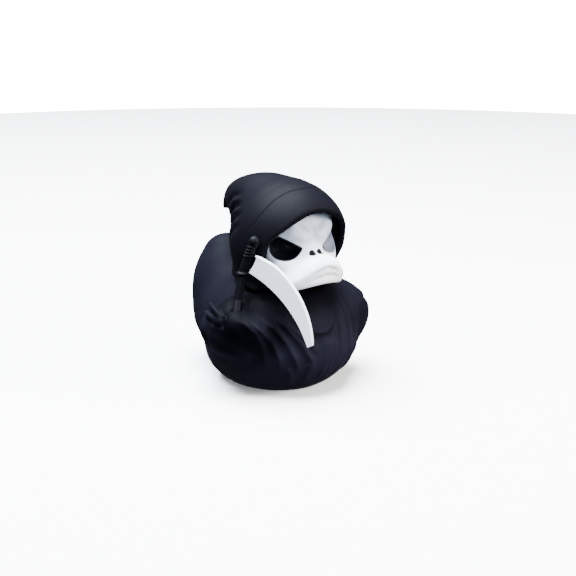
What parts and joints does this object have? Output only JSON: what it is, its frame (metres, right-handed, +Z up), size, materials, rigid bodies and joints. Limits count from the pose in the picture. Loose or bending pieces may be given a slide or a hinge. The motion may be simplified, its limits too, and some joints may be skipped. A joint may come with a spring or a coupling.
{
  "type": "novelty duck figurine",
  "caption": "Moulded bath-duck figurine in a pointed hood and draped robe, with a white skull face and a curved scythe held at its side.",
  "frame": {"origin": "middle of the figure's bounding box, on the flat underside", "axes": "+Z up, the duck looks along -Y, its left side is +X; the scythe is at its right side (-X)"},
  "size_m": [0.0806, 0.0918, 0.0894],
  "materials": {
    "robe_vinyl": "matt moulded vinyl with a faint sheen",
    "hood_vinyl": "matt moulded vinyl with a faint sheen",
    "bone_white_vinyl": "matt white vinyl with black painted eye sockets",
    "shaft_black_vinyl": "satin black vinyl",
    "blade_white_vinyl": "matt white vinyl"
  },
  "bodies": {
    "root": {"robe_body": "robe_vinyl", "hood": "hood_vinyl", "skull_face": "bone_white_vinyl", "scythe_snath": "shaft_black_vinyl", "scythe_blade": "blade_white_vinyl"}
  },
  "joints": []
}
